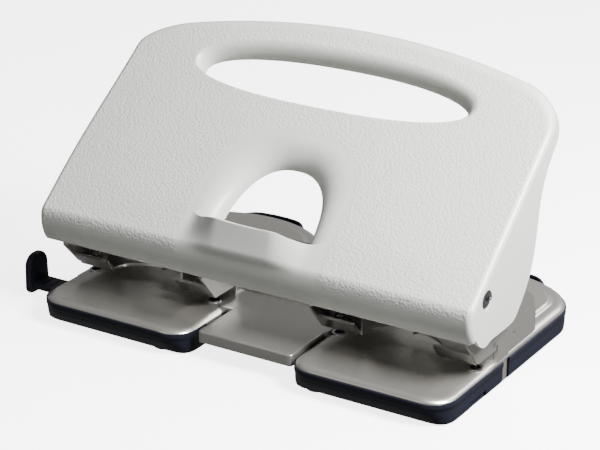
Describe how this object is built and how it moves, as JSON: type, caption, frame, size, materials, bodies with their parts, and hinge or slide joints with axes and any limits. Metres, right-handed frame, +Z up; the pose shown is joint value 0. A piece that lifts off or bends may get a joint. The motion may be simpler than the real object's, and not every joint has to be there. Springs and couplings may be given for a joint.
{
  "type": "hole punch",
  "caption": "Desk hole punch with a leaning painted handle, hand slot and finger scoop, twin punch bridges, sliding paper guide and hinged chip trays.",
  "frame": {"origin": "under the centre foot, on the table, midway between the arms of the handle", "axes": "+X along the width to the right, +Y from the paper side to the back, +Z up"},
  "size_m": [0.2832, 0.1754, 0.1541],
  "materials": {
    "painted_handle": "textured satin",
    "painted_base": "satin metallic",
    "bright_steel": "bright zinc",
    "hard_steel": "ground",
    "zinc_steel": "bright zinc",
    "chrome_screw": "polished",
    "bronze_bush": "satin",
    "dark_plastic": "satin",
    "rubber": "matte"
  },
  "bodies": {
    "base": {"base_plate": "painted_base", "punch_dies": "hard_steel", "cross_rail": "bright_steel", "centre_post": "zinc_steel", "centre_foot": "rubber", "guide_track": "dark_plastic", "guide_detent": "bright_steel", "track_screws": "zinc_steel", "side_bracket_left": "painted_base", "side_bracket_right": "painted_base", "pivot_bush_left": "bronze_bush", "pivot_bush_right": "bronze_bush", "punch_bridge_left": "bright_steel", "punch_bridge_right": "bright_steel", "upper_guide_left": "bright_steel", "upper_guide_right": "bright_steel", "bridge_screws_left": "zinc_steel", "bridge_screws_right": "zinc_steel", "bracket_rivets_left": "zinc_steel", "bracket_rivets_right": "zinc_steel", "tray_brackets_left": "zinc_steel", "tray_brackets_right": "zinc_steel", "hinge_rod_left": "zinc_steel", "hinge_rod_right": "zinc_steel", "pin_spring_1": "hard_steel", "pin_spring_2": "hard_steel", "pin_spring_3": "hard_steel", "pin_spring_4": "hard_steel"},
    "handle": {"handle_shell": "painted_handle", "press_lever": "bright_steel", "pivot_screw_left": "chrome_screw", "pivot_screw_right": "chrome_screw", "lever_screws": "zinc_steel"},
    "punch_head": {"crosshead": "bright_steel", "punch_pin_1": "hard_steel", "punch_pin_2": "hard_steel", "punch_pin_3": "hard_steel", "punch_pin_4": "hard_steel", "pin_clip_1": "hard_steel", "pin_clip_2": "hard_steel", "pin_clip_3": "hard_steel", "pin_clip_4": "hard_steel", "spring_washer_1": "hard_steel", "spring_washer_2": "hard_steel", "spring_washer_3": "hard_steel", "spring_washer_4": "hard_steel"},
    "paper_guide": {"guide_rail": "dark_plastic", "guide_stop": "dark_plastic"},
    "tray_left": {"chip_tray_left": "dark_plastic", "foot_pads_left": "rubber"},
    "tray_right": {"chip_tray_right": "dark_plastic", "foot_pads_right": "rubber"}
  },
  "joints": [
    {"name": "handle_hinge", "type": "hinge", "parent": "base", "child": "handle", "pos_m": [0, -0.0365, 0.0595], "axis": [-1, 0, 0], "range_deg": [0, 32]},
    {"name": "punch_slide", "type": "slide", "parent": "base", "child": "punch_head", "axis": [0, 0, -1], "range_m": [0, 0.0076], "stiffness_N_per_m": 4000, "springref_m": -0.01, "deforming": ["pin_spring_1", "pin_spring_2", "pin_spring_3", "pin_spring_4"]},
    {"name": "guide_slide", "type": "slide", "parent": "base", "child": "paper_guide", "axis": [-1, 0, 0], "range_m": [-0.018, 0.08]},
    {"name": "tray_left_hinge", "type": "hinge", "parent": "base", "child": "tray_left", "pos_m": [-0.0262, 0, 0.003], "axis": [0, -1, 0], "range_deg": [0, 65]},
    {"name": "tray_right_hinge", "type": "hinge", "parent": "base", "child": "tray_right", "pos_m": [0.0322, 0, 0.003], "axis": [0, 1, 0], "range_deg": [0, 65]}
  ],
  "couplings": [
    {"joint": "punch_slide", "follows": "handle_hinge", "m_per_rad": 0.0135}
  ]
}
